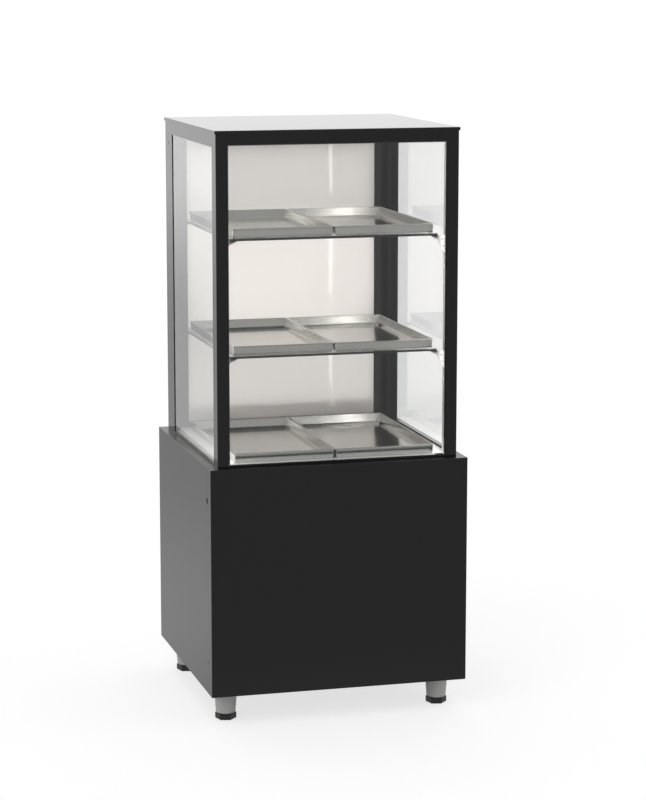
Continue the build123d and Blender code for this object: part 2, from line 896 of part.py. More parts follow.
# Light channels behind the front posts, with opal covers clipped between their walls
with BuildPart() as light_channels:
    for side, _ in sides:
        light_x = side * (window_x + light_edge_gap + light_width / 2)
        light_span = (deck_top, window_top)
        block((light_x - light_width / 2, light_x + light_width / 2), (inner_front, light_back), light_span)
        block(
            (light_x - light_width / 2 + light_wall, light_x + light_width / 2 - light_wall),
            (inner_front + light_wall, light_back),
            light_span,
            mode=Mode.SUBTRACT,
        )
save("light_channels", light_channels)

with BuildPart() as light_covers:
    for side, _ in sides:
        light_x = side * (window_x + light_edge_gap + light_width / 2)
        block(
            (light_x - light_width / 2 + light_wall, light_x + light_width / 2 - light_wall),
            (light_back - light_cover, light_back),
            (deck_top, window_top),
        )
save("light_covers", light_covers)

# Pane clip: a flat hooked piece on the deck, at the right foot of the front pane
with BuildPart() as pane_clip:
    clip_end = window_x + light_edge_gap - clip_gap
    block(
        (clip_end - clip_width, clip_end),
        (inner_front + clip_depth - clip_arm_depth, inner_front + clip_depth),
        (deck_top, deck_top + clip_thickness),
    )
    block(
        (clip_end - clip_width, clip_end - clip_width + clip_pad_width),
        (inner_front, inner_front + clip_depth),
        (deck_top, deck_top + clip_thickness),
    )
save("pane_clip", pane_clip)

# Light switch: a bezel in the rear panel and a rocker on two trunnions
rocker_pivot = (switch_x, bezel_face - rocker_pivot_depth, switch_z)
tilt = radians(-rocker_half_angle)
with BuildPart() as switch_bezel:
    opening_x = rocker_width / 2 + rocker_side_play
    opening_z = rocker_height / 2 + rocker_play
    bezel_back = rear_panel_face - bezel_body_depth
    block(
        (switch_x - bezel_width / 2, switch_x + bezel_width / 2),
        (rear_panel_face, bezel_face),
        (switch_z - bezel_height / 2, switch_z + bezel_height / 2),
    )
    block(
        (switch_x - bezel_body_x, switch_x + bezel_body_x),
        (bezel_back, rear_panel_face),
        (switch_z - bezel_body_z, switch_z + bezel_body_z),
    )
    block(
        (switch_x - opening_x, switch_x + opening_x),
        (bezel_back + bezel_wall, bezel_face),
        (switch_z - opening_z, switch_z + opening_z),
        mode=Mode.SUBTRACT,
    )
    with Locations(Plane(rocker_pivot, z_dir=(1, 0, 0))):
        Cylinder(trunnion_radius + trunnion_clearance, 2 * (opening_x + trunnion_length), mode=Mode.SUBTRACT)
save("switch_bezel", switch_bezel)

with BuildPart() as switch_rocker:
    rocker_plane = Plane(rocker_pivot, x_dir=(0, cos(tilt), sin(tilt)), z_dir=(1, 0, 0))
    tip_rise = rocker_height / 2 * sin(radians(rocker_half_angle))
    outline = [
        (rocker_pivot_depth, 0),
        (rocker_pivot_depth + tip_rise, rocker_height / 2),
        (rocker_pivot_depth - rocker_depth, rocker_height / 2 - rocker_draft),
        (rocker_pivot_depth - rocker_depth, rocker_draft - rocker_height / 2),
        (rocker_pivot_depth + tip_rise, -rocker_height / 2),
    ]
    extrude(profile(rocker_plane, outline), amount=rocker_width / 2, both=True)
    with Locations(rocker_plane):
        Cylinder(trunnion_radius, rocker_width + 2 * trunnion_length)
save("switch_rocker", switch_rocker)

# Cable grommet in the rear panel
with BuildPart() as grommet:
    with Locations(Plane((grommet_x, rear_panel_back - grommet_lip, grommet_z), z_dir=(0, 1, 0))):
        Cylinder(grommet_flange / 2, grommet_lip, align=bottom_aligned)
    with Locations(Plane((grommet_x, rear_panel_back, grommet_z), z_dir=(0, 1, 0))):
        Cylinder(grommet_neck / 2, base_sheet, align=bottom_aligned)
    with Locations(Plane((grommet_x, rear_panel_face, grommet_z), z_dir=(0, 1, 0))):
        Cylinder(grommet_flange / 2, grommet_lip, align=bottom_aligned)
    with Locations(Plane((grommet_x, rear_panel_face + grommet_lip, grommet_z), z_dir=(0, 1, 0))):
        Hole(grommet_bore / 2)
save("grommet", grommet)

# Screws: flush ones in the base sides and rear posts, round-head ones in the rear panel
with BuildPart() as screws:
    for centre, outward in side_screws + post_screws:
        flat_screw(centre, outward)
    for centre, outward in panel_screws:
        pan_screw(centre, outward)
save("screws", screws)
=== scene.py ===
# %% [markdown]
# # A glazed display case, dressed for a studio picture
# The case is a black sheet-steel base on four feet, with a glass box on top of it.
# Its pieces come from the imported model, at their real size and in metres. This script
# never moves them: it gives each one its finish, adds the thin pieces that only the eye
# needs, and sets up the studio. The first step loads the pieces and notes their box, so
# that the last one can tell how far the added pieces reach past it.

import json
from math import pi, radians

import bpy
import numpy as np
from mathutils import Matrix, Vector


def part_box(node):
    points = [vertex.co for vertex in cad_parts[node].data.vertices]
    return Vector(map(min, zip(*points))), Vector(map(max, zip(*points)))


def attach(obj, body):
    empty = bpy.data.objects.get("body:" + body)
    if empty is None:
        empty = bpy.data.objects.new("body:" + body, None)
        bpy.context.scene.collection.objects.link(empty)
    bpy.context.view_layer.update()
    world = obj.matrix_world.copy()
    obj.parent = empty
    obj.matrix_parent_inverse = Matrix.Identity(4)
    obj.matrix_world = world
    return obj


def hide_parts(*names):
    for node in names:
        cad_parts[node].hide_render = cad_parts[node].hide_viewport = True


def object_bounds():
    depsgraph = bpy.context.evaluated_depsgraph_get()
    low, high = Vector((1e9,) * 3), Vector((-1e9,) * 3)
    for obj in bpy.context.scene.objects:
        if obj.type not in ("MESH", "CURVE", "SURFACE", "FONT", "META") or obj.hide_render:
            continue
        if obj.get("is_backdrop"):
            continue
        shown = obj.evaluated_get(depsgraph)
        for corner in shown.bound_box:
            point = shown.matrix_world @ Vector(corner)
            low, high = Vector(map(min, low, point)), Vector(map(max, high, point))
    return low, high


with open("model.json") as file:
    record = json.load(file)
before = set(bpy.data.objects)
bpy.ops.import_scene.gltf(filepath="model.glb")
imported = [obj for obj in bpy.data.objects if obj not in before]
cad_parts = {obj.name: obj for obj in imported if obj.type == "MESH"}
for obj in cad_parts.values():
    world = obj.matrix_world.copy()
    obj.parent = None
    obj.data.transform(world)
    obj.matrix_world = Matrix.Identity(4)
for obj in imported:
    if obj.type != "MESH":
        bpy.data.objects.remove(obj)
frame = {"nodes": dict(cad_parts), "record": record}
nodes = frame["nodes"]
cad_low, cad_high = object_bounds()
print(len(nodes), "pieces in a box of", [round(b - a, 4) for a, b in zip(cad_low, cad_high)], "m")

# %% [markdown]
# ## The camera
# The photograph was taken from the left of the case and a little above its roof, with a
# long lens, so upright edges stay nearly upright. A camera could be set by eye, but then
# no edge can be compared. Lens, place and turn were worked out from the edges of the
# base and of the glass box instead, so the render can be laid over the photograph.

# %% Camera
photo_height = 800
focal_length_in_pixels = 2527.5
camera_turn = radians(15.19)
camera_tilt = radians(9.66)

camera_data = bpy.data.cameras.new("camera")
camera_data.sensor_width = 36
camera_data.lens = camera_data.sensor_width * focal_length_in_pixels / photo_height
camera = bpy.data.objects.new("camera", camera_data)
camera.location = (-1.4987, -5.6521, 1.6866)
camera.rotation_euler = (pi / 2 - camera_tilt, 0, -camera_turn)
bpy.context.scene.collection.objects.link(camera)
bpy.context.scene.camera = camera
bpy.context.scene.view_settings.view_transform = "Standard"
print("lens of", round(camera_data.lens, 1), "mm")

# %% [markdown]
# ## Helpers for finishes
# Every finish is a small tree of nodes. It could be clicked together in the shader
# editor; as text, each value can be read and changed in one place. One function turns a
# colour as a designer writes it, an sRGB hex value, into the linear numbers that Blender
# works with, one adds a node with its settings and its links, and one makes a material
# from a function that builds its surface.

# %% Colours, nodes and materials
def linear(hex_colour):
    """Turns #rrggbb into linear red, green, blue and alpha by the sRGB curve."""
    encoded = np.array([int(hex_colour[i:i + 2], 16) for i in (1, 3, 5)]) / 255
    flat = encoded / 12.92
    curved = ((encoded + 0.055) / 1.055) ** 2.4
    return (*np.where(encoded <= 0.04045, flat, curved), 1.0)


def add_node(tree, kind, inputs, **settings):
    """Adds one node: settings are its properties, inputs its sockets.

    An input is a value, or another node's output, which is then linked.
    """
    node = tree.nodes.new(kind)
    for name, value in settings.items():
        setattr(node, name, value)
    for name, value in inputs.items():
        if isinstance(value, bpy.types.NodeSocket):
            tree.links.new(value, node.inputs[name])
        else:
            node.inputs[name].default_value = value
    return node


def new_finish(name, surface, inside=None, **settings):
    """Makes a material: surface builds its shader from the settings, inside its volume."""
    material = bpy.data.materials.new(name)
    material.use_nodes = True
    tree = material.node_tree
    tree.nodes.clear()
    made = {"Surface": surface(tree, **settings)}
    if inside:
        made["Volume"] = inside(tree)
    add_node(tree, "ShaderNodeOutputMaterial", made)
    return material


white = linear("#ffffff")
print("mid grey is", [round(float(v), 3) for v in linear("#808080")])

# %% [markdown]
# ## What each ray sees
# Studio white is a trick of light: the eye should see clean white paper, gloss should
# mirror a room with some form in it, and neither may add light to the object. The Light
# Path node tells what kind of ray asks, so three shaders are mixed by it. A ray that
# gloss has mirrored and that then passes a pane still counts as a transmission ray, so
# the number of glossy bounces tells it from one that nothing has mirrored.

# %% Mix by ray
half_a_bounce = 0.5


def shade_by_ray(tree, bounced, mirrored, plain):
    """Picks one of three shaders by the kind of ray.

    Plain is for rays from the camera, straight or through glass. Of the others, glossy
    rays get mirrored, and diffuse rays, which carry light to the object, get bounced.
    """
    rays = add_node(tree, "ShaderNodeLightPath", {}).outputs
    straight = add_node(
        tree,
        "ShaderNodeMath",
        {0: rays["Is Camera Ray"], 1: rays["Is Transmission Ray"]},
        operation="MAXIMUM",
    )
    unmirrored = add_node(
        tree, "ShaderNodeMath", {0: rays["Glossy Depth"], 1: half_a_bounce}, operation="LESS_THAN"
    )
    seen = add_node(
        tree,
        "ShaderNodeMath",
        {0: straight.outputs["Value"], 1: unmirrored.outputs["Value"]},
        operation="MULTIPLY",
    )
    other = add_node(
        tree, "ShaderNodeMixShader", {0: rays["Is Glossy Ray"], 1: bounced, 2: mirrored}
    )
    return add_node(
        tree,
        "ShaderNodeMixShader",
        {0: seen.outputs["Value"], 1: other.outputs["Shader"], 2: plain},
    ).outputs["Shader"]


print("three shaders, by the kind of ray")

# %% [markdown]
# ## The studio
# A product studio is a white room that is brighter behind the object than in front of
# it, where the camera and the dark rest of the room are. Gloss black shows this more
# than any other finish: its flanks mirror the white room, and its front stays dark. A
# picture of a room could be wrapped round the scene, but a fall of brightness along the
# depth takes a few numbers and can be matched to the photograph.

# %% Room
front_room = 0.42
back_room = 1.16
room_light = 0.6
plain_room = 1.0
darkest_direction = -0.6
brightest_direction = 0.5

world = bpy.data.worlds.new("studio")
bpy.context.scene.world = world
world.use_nodes = True
tree = world.node_tree
tree.nodes.clear()
# In a world, Generated is the direction of the ray.
direction = add_node(tree, "ShaderNodeTexCoord", {}).outputs["Generated"]
towards_back = add_node(tree, "ShaderNodeSeparateXYZ", {"Vector": direction}).outputs["Y"]
brightness = add_node(
    tree,
    "ShaderNodeMapRange",
    {
        "Value": towards_back,
        "From Min": darkest_direction,
        "From Max": brightest_direction,
        "To Min": front_room,
        "To Max": back_room,
    },
    interpolation_type="SMOOTHSTEP",
).outputs["Result"]
rooms = [
    add_node(tree, "ShaderNodeBackground", {"Color": white, "Strength": strength})
    for strength in (room_light, brightness, plain_room)
]
surface = shade_by_ray(tree, *[room.outputs["Background"] for room in rooms])
add_node(tree, "ShaderNodeOutputWorld", {"Surface": surface})
print("room mirrored from", front_room, "in front to", back_room, "behind")

# %% [markdown]
# ## The floor
# The floor is one wide sheet of white paper. A lit sheet alone would show a strong
# shadow and grey towards the horizon, so the eye sees a mix of lit paper, which carries
# the shadow of the case, and plain white, which keeps that shadow as faint as in the
# photograph. Two panes take part of the light behind them, so what is seen through glass
# is a little brighter. Light bounces off a slightly darker paper.
#
# Gloss mirrors a floor drawn in three steps of depth: dark under the camera, bright
# beside the case and just behind it, a little darker some metres on, a painted shadow of
# the case there, and bright again far off, where it meets the lit room. They are matched to how
# bright the flank looks.

# %% Floor
floor_reach = 250.0
plain_share = 0.7
plain_white = 1.03
behind_panes = 1.14
near_floor = 0.82
shadowed_middle_floor = 0.66
# Each step runs from one depth to another, in metres, and changes the brightness.
mirrored_steps = (
    (-1.0, 0.7, near_floor - front_room),
    # The second step is painted shadow: the mirrored floor darkens where the case's shadow would
    # fall behind it.
    (0.9, 2.9, shadowed_middle_floor - near_floor),
    (5.5, 15.0, back_room - shadowed_middle_floor),
)


def paper_surface(tree):
    """White paper: lit and plain white to the eye, stepped to gloss, darker to bounces."""
    place = add_node(tree, "ShaderNodeTexCoord", {}).outputs["Object"]
    depth = add_node(tree, "ShaderNodeSeparateXYZ", {"Vector": place}).outputs["Y"]
    brightness = front_room
    for start, end, change in mirrored_steps:
        step = add_node(
            tree,
            "ShaderNodeMapRange",
            {"Value": depth, "From Min": start, "From Max": end, "To Min": 0.0, "To Max": change},
            interpolation_type="SMOOTHSTEP",
        ).outputs["Result"]
        brightness = add_node(
            tree, "ShaderNodeMath", {0: step, 1: brightness}, operation="ADD"
        ).outputs["Value"]
    through_glass = add_node(tree, "ShaderNodeLightPath", {}).outputs["Is Transmission Ray"]
    strength = add_node(
        tree,
        "ShaderNodeMapRange",
        {"Value": through_glass, "To Min": plain_white, "To Max": behind_panes},
    ).outputs["Result"]
    lit = add_node(tree, "ShaderNodeBsdfDiffuse", {"Color": white})
    glow = add_node(tree, "ShaderNodeEmission", {"Color": white, "Strength": strength})
    plain = add_node(
        tree,
        "ShaderNodeMixShader",
        {0: plain_share, 1: lit.outputs["BSDF"], 2: glow.outputs["Emission"]},
    )
    bounced = add_node(tree, "ShaderNodeBsdfDiffuse", {"Color": linear("#e0e0e0")})
    mirrored = add_node(tree, "ShaderNodeEmission", {"Color": white, "Strength": brightness})
    return shade_by_ray(
        tree, bounced.outputs["BSDF"], mirrored.outputs["Emission"], plain.outputs["Shader"]
    )


floor_mesh = bpy.data.meshes.new("floor")
corners = np.array([(-1, -1, 0), (1, -1, 0), (1, 1, 0), (-1, 1, 0)]) * floor_reach
floor_mesh.from_pydata(corners.tolist(), [], [(0, 1, 2, 3)])
floor = bpy.data.objects.new("floor", floor_mesh)
floor.data.materials.append(new_finish("white_paper", paper_surface))
bpy.context.scene.collection.objects.link(floor)
floor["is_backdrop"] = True
print("floor of", 2 * floor_reach, "m")

# %% [markdown]
# ## The lamps
# Light for a white floor has to be even, or the paper greys towards the horizon. Area
# lamps fade with distance; a sun lamp gives the same light everywhere, and a wide one
# throws the wide soft shadow of a soft box. Three stand here: one at the left of the
# camera for form, one behind and above for the far edges, and a weak one at the right.
# With the room's own light they add up to about one, so white paper renders just white
# and a colour as it is written.

# %% Lamps
# Name, place it shines from, spread in degrees, strength.
suns = (
    ("key", (-3.0, -3.4, 4.2), 50, 0.75),
    ("top", (0.4, 2.6, 4.6), 60, 0.75),
    ("side", (3.6, -1.6, 3.0), 50, 0.2),
)
on_floor = room_light
for name, place, spread, strength in suns:
    data = bpy.data.lights.new(name, "SUN")
    data.angle = radians(spread)
    data.energy = strength
    lamp = bpy.data.objects.new(name, data)
    lamp.rotation_euler = Vector(place).to_track_quat("Z", "Y").to_euler()
    bpy.context.scene.collection.objects.link(lamp)
    on_floor += strength * Vector(place).normalized().z / pi
print("white paper renders at", round(on_floor, 3))

# %% [markdown]
# ## Black coatings
# The frame of the glass box is aluminium profile under a smooth gloss-black coat. The
# base is steel sheet under a black powder coat, which melts into a faint orange-peel
# skin and scatters what it mirrors. A photographed texture could show that skin, but a
# noise at its real spacing works from any distance. Both coats are resin over metal, so
# their IOR is that of a resin and the metal doesn't show. The base colour is nearly
# black: the grey that the eye sees on the flanks is the room, mirrored at a flat angle.

# %% Coatings
resin_ior = 1.5


def coat_surface(tree, colour, roughness, skin_spacing, skin_height):
    """A resin coat: one colour, one roughness, and a noise bump, spaced in metres."""
    place = add_node(tree, "ShaderNodeTexCoord", {}).outputs["Object"]
    skin = add_node(
        tree, "ShaderNodeTexNoise", {"Vector": place, "Scale": 1 / skin_spacing, "Detail": 2.0}
    )
    bump = add_node(
        tree,
        "ShaderNodeBump",
        {"Height": skin.outputs["Fac"], "Strength": 0.5, "Distance": skin_height},
    )
    return add_node(
        tree,
        "ShaderNodeBsdfPrincipled",
        {
            "Base Color": linear(colour),
            "Roughness": roughness,
            "IOR": resin_ior,
            "Normal": bump.outputs["Normal"],
        },
    ).outputs["BSDF"]


# Gloss lacquer on aluminium profile: it flowed out smooth, so it mirrors almost sharply.
profile_coat = {
    "colour": "#0c0c0c",
    "roughness": 0.12,
    "skin_spacing": 0.004,
    "skin_height": 0.00001,
}
gloss_coat = new_finish("gloss_black_profile_coat", coat_surface, **profile_coat)

# Powder coat on steel, sprayed dry and baked: satin, with a fine orange peel.
orange_peel = 0.0015
powder_coat = new_finish(
    "black_powder_coat",
    coat_surface,
    colour="#0e0e0e",
    roughness=0.3,
    skin_spacing=orange_peel,
    skin_height=0.00003,
)
print("orange peel", orange_peel * 1000, "mm apart on the base")

# %% [markdown]
# ## Clear glass
# Float glass is clear through its face and green through its edge, because the light
# that leaves an edge has crossed centimetres of it. A green surface would tint the whole
# pane; a faint absorption inside tints only the long paths. Lamps would throw black
# shadows through refracting glass, so shadow rays and bounced rays pass it straight, a
# little dimmed by the two faces.

# %% Clear glass
glass_ior = 1.52
passed_light = "#f4f6f5"
edge_green = "#b8d8c8"
green_per_metre = 6.0


def pane_surface(tree):
    """Refracting glass; shadow and bounced rays pass straight through it."""
    rays = add_node(tree, "ShaderNodeLightPath", {}).outputs
    passing = add_node(
        tree,
        "ShaderNodeMath",
        {0: rays["Is Shadow Ray"], 1: rays["Is Diffuse Ray"]},
        operation="MAXIMUM",
    )
    pane = add_node(
        tree,
        "ShaderNodeBsdfPrincipled",
        {"Base Color": white, "Roughness": 0.0, "IOR": glass_ior, "Transmission Weight": 1.0},
    )
    air = add_node(tree, "ShaderNodeBsdfTransparent", {"Color": linear(passed_light)})
    return add_node(
        tree,
        "ShaderNodeMixShader",
        {0: passing.outputs["Value"], 1: pane.outputs["BSDF"], 2: air.outputs["BSDF"]},
    ).outputs["Shader"]


def green_inside(tree):
    """Absorption that grows with the length of the path in the glass."""
    return add_node(
        tree,
        "ShaderNodeVolumeAbsorption",
        {"Color": linear(edge_green), "Density": green_per_metre},
    ).outputs["Volume"]


# Tempered float glass, cast on molten tin: flat, without a grain, and mirror smooth.
float_glass = new_finish("clear_float_glass", pane_surface, green_inside)
print("glass of IOR", glass_ior)

# %% [markdown]
# ## Smooth skins
# The deck and ceiling are white enamelled sheet, and the plastic and rubber pieces have
# moulded skins. One value of roughness would make them look drawn, because a surface
# that is handled and wiped is never quite even. So a soft cloud, some centimetres wide,
# moves the roughness up and down a little.

# %% White enamel
cloud_spacing = 0.025
cloud_contrast = 0.04


def skin_surface(tree, colour, roughness):
    """A smooth coloured skin whose roughness follows a noise, spaced in metres."""
    place = add_node(tree, "ShaderNodeTexCoord", {}).outputs["Object"]
    cloud = add_node(
        tree, "ShaderNodeTexNoise", {"Vector": place, "Scale": 1 / cloud_spacing, "Detail": 3.0}
    )
    rough = add_node(
        tree,
        "ShaderNodeMapRange",
        {
            "Value": cloud.outputs["Fac"],
            "To Min": roughness - cloud_contrast,
            "To Max": roughness + cloud_contrast,
        },
    )
    return add_node(
        tree,
        "ShaderNodeBsdfPrincipled",
        {"Base Color": linear(colour), "Roughness": rough.outputs["Result"], "IOR": resin_ior},
    ).outputs["BSDF"]


# Stove enamel on steel sheet: an even warm white with a soft gloss.
white_enamel = new_finish(
    "white_enamelled_sheet", skin_surface, colour="#ececea", roughness=0.3
)
print("clouds", round(cloud_spacing * 1000), "mm wide in the gloss")

# %% [markdown]
# ## The opal door pane
# The door holds a milky white glass. Its face mirrors the light strips, and the light of
# the room behind it shines through. Full subsurface scattering could do that, but it is slow and
# grainy, and a thin pane needs no depth: a mix of a glossy white face with a translucent
# one passes light from back to front. The mix leaves the gloss four tenths of its
# weight, so its specular level is doubled to bring the mirrored strips back.

# %% White opal glass
translucent_share = 0.6


def opal_glass_surface(tree):
    """A glossy white face mixed with one that lets light through from behind."""
    face = add_node(
        tree,
        "ShaderNodeBsdfPrincipled",
        {
            "Base Color": linear("#f1eeed"),
            "Roughness": 0.05,
            "IOR": glass_ior,
            "Specular IOR Level": 1.0,
        },
    )
    through = add_node(tree, "ShaderNodeBsdfTranslucent", {"Color": linear("#f6f4f2")})
    return add_node(
        tree,
        "ShaderNodeMixShader",
        {0: translucent_share, 1: face.outputs["BSDF"], 2: through.outputs["BSDF"]},
    ).outputs["Shader"]


# Opal glass, white all through and fire-polished: milky, with a sharp gloss on top.
white_pane = new_finish("white_opal_glass", opal_glass_surface)
print("translucent share of the opal pane", translucent_share)

# %% [markdown]
# ## Steel and aluminium
# The trays are stainless steel, brushed in long strokes; the front uprights have the
# short grain of a satin finish. An anisotropic shader could stretch the highlight, but
# the strokes themselves would be missing, so a noise stretched along X drives roughness
# and bump. Real grain is about a tenth of a millimetre apart, too fine for this picture,
# so it is drawn about ten times as coarse. A metal keeps the default IOR.

# %% Brushed metals
grain_contrast = 0.08
grain_depth = 0.00002


def metal_surface(tree, colour, roughness, grain_spacing, stretch):
    """Metal whose roughness and bump follow a noise, spaced in metres, stretched along X."""
    place = add_node(tree, "ShaderNodeTexCoord", {}).outputs["Object"]
    along = add_node(tree, "ShaderNodeMapping", {"Vector": place, "Scale": (1 / stretch, 1, 1)})
    grain = add_node(
        tree,
        "ShaderNodeTexNoise",
        {"Vector": along.outputs["Vector"], "Scale": 1 / grain_spacing, "Detail": 3.0},
    )
    rough = add_node(
        tree,
        "ShaderNodeMapRange",
        {
            "Value": grain.outputs["Fac"],
            "To Min": roughness - grain_contrast,
            "To Max": roughness + grain_contrast,
        },
    )
    bump = add_node(
        tree,
        "ShaderNodeBump",
        {"Height": grain.outputs["Fac"], "Strength": 0.3, "Distance": grain_depth},
    )
    return add_node(
        tree,
        "ShaderNodeBsdfPrincipled",
        {
            "Base Color": linear(colour),
            "Metallic": 1.0,
            "Roughness": rough.outputs["Result"],
            "Normal": bump.outputs["Normal"],
        },
    ).outputs["BSDF"]


# Stainless sheet, brushed before pressing: long strokes, and a fairly sharp mirror.
brushed = {"roughness": 0.16, "grain_spacing": 0.0012, "stretch": 30}
tray_steel = new_finish("brushed_stainless_steel", metal_surface, colour="#cfceca", **brushed)

# Stainless strip, blasted to a satin: paled with painted glow from the strips, and it mirrors only
# light and dark.
satin = {"roughness": 0.5, "grain_spacing": 0.0008, "stretch": 4}
glow_paled_upright_steel = new_finish("satin_steel_with_painted_glow", metal_surface, colour="#f0efec", **satin)

# Extruded aluminium, etched and anodised: silvery and matt, with the die's fine lines.
anodised = new_finish(
    "satin_anodised_aluminium",
    metal_surface,
    colour="#e3e3e3",
    roughness=0.4,
    grain_spacing=0.001,
    stretch=20,
)

# Screw steel, blackened in a hot bath: dark grey metal without a direction.
screw_steel = new_finish(
    "black_oxide_steel",
    metal_surface,
    colour="#3a3a3a",
    roughness=0.4,
    grain_spacing=0.001,
    stretch=1,
)
print("tray grain", round(brushed["grain_spacing"] * brushed["stretch"] * 1000), "mm long")

# %% [markdown]
# ## Brackets in two finishes
# The shelf brackets at the front are bare steel, as their uprights are. Those at the
# back are coated black, as the posts behind them. All four of a shelf come as one packed
# piece, which could be cut in two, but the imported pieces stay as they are. So one
# material asks how deep in the case it is, and changes over at the middle, where no
# bracket is.

# %% Bracket finish
middle_of_case = 0.0


def bracket_surface(tree):
    """Bare satin steel in front of the middle of the case, gloss black coat behind it."""
    place = add_node(tree, "ShaderNodeTexCoord", {}).outputs["Object"]
    depth = add_node(tree, "ShaderNodeSeparateXYZ", {"Vector": place}).outputs["Y"]
    behind = add_node(
        tree, "ShaderNodeMath", {0: depth, 1: middle_of_case}, operation="GREATER_THAN"
    ).outputs["Value"]
    # The front steel is a darker grey than the uprights': painted shade that tempers the strip
    # lamps' light on the brackets.
    bare = metal_surface(tree, colour="#969592", **satin)
    coated = coat_surface(tree, **profile_coat)
    return add_node(tree, "ShaderNodeMixShader", {0: behind, 1: bare, 2: coated}).outputs["Shader"]


# Stamped steel, satin at the front in a grey darkened as painted shade against the strip lamps,
# and lacquered with the posts at the back.
bracket_finish = new_finish("bracket_steel_bare_darkened_in_front_black_behind", bracket_surface)
print("bracket finish changes at depth", middle_of_case)

# %% [markdown]
# ## Plastics and rubber
# Legs are moulded in grey plastic; feet, switch and bushes in black. Seals and pads are
# matt rubber. They take the smooth skin from above, each with its own colour and gloss.
# The light covers are milky plastic that glows, so they emit light of their own; the
# lamps that follow do the lighting.

# %% Plastics and rubber
cover_glow = 9.0


def lit_cover_surface(tree):
    """Milky plastic that gives off light evenly."""
    return add_node(
        tree,
        "ShaderNodeBsdfPrincipled",
        {
            "Base Color": linear("#f4f4f0"),
            "Roughness": 0.4,
            "IOR": 1.58,
            "Emission Color": linear("#fffcf8"),
            "Emission Strength": cover_glow,
        },
    ).outputs["BSDF"]


# Nylon from an etched mould: mid grey, with a dull sheen.
grey_plastic = new_finish("grey_moulded_nylon", skin_surface, colour="#b4b4b2", roughness=0.45)

# The same plastic in black.
black_plastic = new_finish("black_moulded_nylon", skin_surface, colour="#141414", roughness=0.45)

# Extruded EPDM rubber: a dry, matt black that mirrors next to nothing.
rubber = new_finish("black_epdm_rubber", skin_surface, colour="#070707", roughness=0.85)

# Extruded polycarbonate, milky to hide the diodes: an even white glow.
opal = new_finish("lit_opal_cover", lit_cover_surface)
print("covers glow at", cover_glow)

# %% [markdown]
# ## Finishes for the imported pieces
# The imported record says for each piece which slot, or kind of surface, it has. Choosing
# a material piece by piece would take sixty lines; a table from slot to finish takes
# twelve. Two groups depart from it: the front uprights are satin steel, paled with painted
# glow from the strips, where the trays are brushed, and the brackets have the finish of their own.

# %% Give each imported piece its finish
finishes = {
    "black_paint": powder_coat,
    "black_profile": gloss_coat,
    "clear_glass": float_glass,
    "white_glass": white_pane,
    "white_sheet": white_enamel,
    "satin_steel": tray_steel,
    "grey_plastic": grey_plastic,
    "black_plastic": black_plastic,
    "black_rubber": rubber,
    "aluminium": anodised,
    "opal_plastic": opal,
    "black_screw": screw_steel,
}
for part in frame["record"]["subparts"]:
    piece = nodes[part["node"]]
    finish = finishes[part["material_slot"]]
    # Front uprights: satin steel, paled with painted glow from the strips.
    if part["node"].startswith("upright_front"):
        finish = glow_paled_upright_steel
    if part["node"].startswith("brackets"):
        finish = bracket_finish
    piece.data.materials.clear()
    piece.data.materials.append(finish)
print(len(finishes), "finishes on", len(nodes), "pieces")

# %% [markdown]
# ## Light from the strips
# The glowing covers only show how bright they are. The light could come from them alone,
# but a glowing mesh is found by chance, which leaves grain, and a lamp is sampled
# directly. So two lamps of the covers' width stand half a millimetre off the covers'
# faces and shine towards the door. The door in the photograph darkens towards its top
# and its foot, so the lamps stop short of the ceiling and of the deck. Gloss mirrors the
# covers themselves, so the lamps are kept out of mirrored rays.

# %% Strip lamps
strip_watts = 4.0
cover_width = 0.0105
off_cover = 0.0005
clear_of_deck = 0.12
clear_of_ceiling = 0.125

cover_low, cover_high = (np.array(corner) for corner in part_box("light_covers"))
strip_low = cover_low[2] + clear_of_deck
strip_high = cover_high[2] - clear_of_ceiling
for word, sign in (("left", -1), ("right", 1)):
    data = bpy.data.lights.new(f"strip_{word}", "AREA")
    data.shape = "RECTANGLE"
    data.size = cover_width
    data.size_y = strip_high - strip_low
    data.energy = strip_watts
    data.color = linear("#fff7f3")[:3]
    lamp = bpy.data.objects.new(f"strip_{word}", data)
    lamp.location = (
        sign * (cover_high[0] - cover_width / 2),
        cover_high[1] + off_cover,
        (strip_low + strip_high) / 2,
    )
    lamp.rotation_euler = (pi / 2, 0, 0)
    lamp.visible_glossy = False
    lamp.visible_transmission = False
    bpy.context.scene.collection.objects.link(lamp)
print("strips", round(data.size_y, 3), "m long, at depth", round(lamp.location.y, 4))

# %% [markdown]
# ## Strips that run round a frame
# Panes are bedded in rubber: a soft strip pressed between the glass and its frame, all
# the way round, mitred in the corners. A curve with a bevel could draw it, but a mitre
# is simpler as a formula: each corner carries one copy of the outline, pulled inwards
# along both its sides at once, and straight faces join the four copies.

# %% Outline carried round a rectangle
def turn_outwards(mesh):
    """Turns the faces round where the mesh, taken as a closed skin, has a negative volume.

    The volume is the sum over all triangles of a corner times the cross product of the
    other two.
    """
    mesh.calc_loop_triangles()
    places = np.empty(len(mesh.vertices) * 3)
    mesh.vertices.foreach_get("co", places)
    corners = np.empty(len(mesh.loop_triangles) * 3, dtype=np.int64)
    mesh.loop_triangles.foreach_get("vertices", corners)
    a, b, c = places.reshape(-1, 3)[corners].reshape(-1, 3, 3).transpose(1, 0, 2)
    if np.einsum("ij,ij->i", a, np.cross(b, c)).sum() < 0:
        mesh.flip_normals()


def new_piece(name, points, faces):
    """Makes an object of a grid of points and its faces, in place, with faces outwards."""
    mesh = bpy.data.meshes.new(name)
    mesh.from_pydata(points.reshape(-1, 3).tolist(), [], faces)
    piece = bpy.data.objects.new(name, mesh)
    bpy.context.scene.collection.objects.link(piece)
    turn_outwards(mesh)
    return piece


def grid_index(points):
    """Numbers the points of a grid, and gives with them the numbers one row further on."""
    index = np.arange(points.shape[0] * points.shape[1]).reshape(points.shape[:2])
    return index, np.roll(index, -1, axis=0)


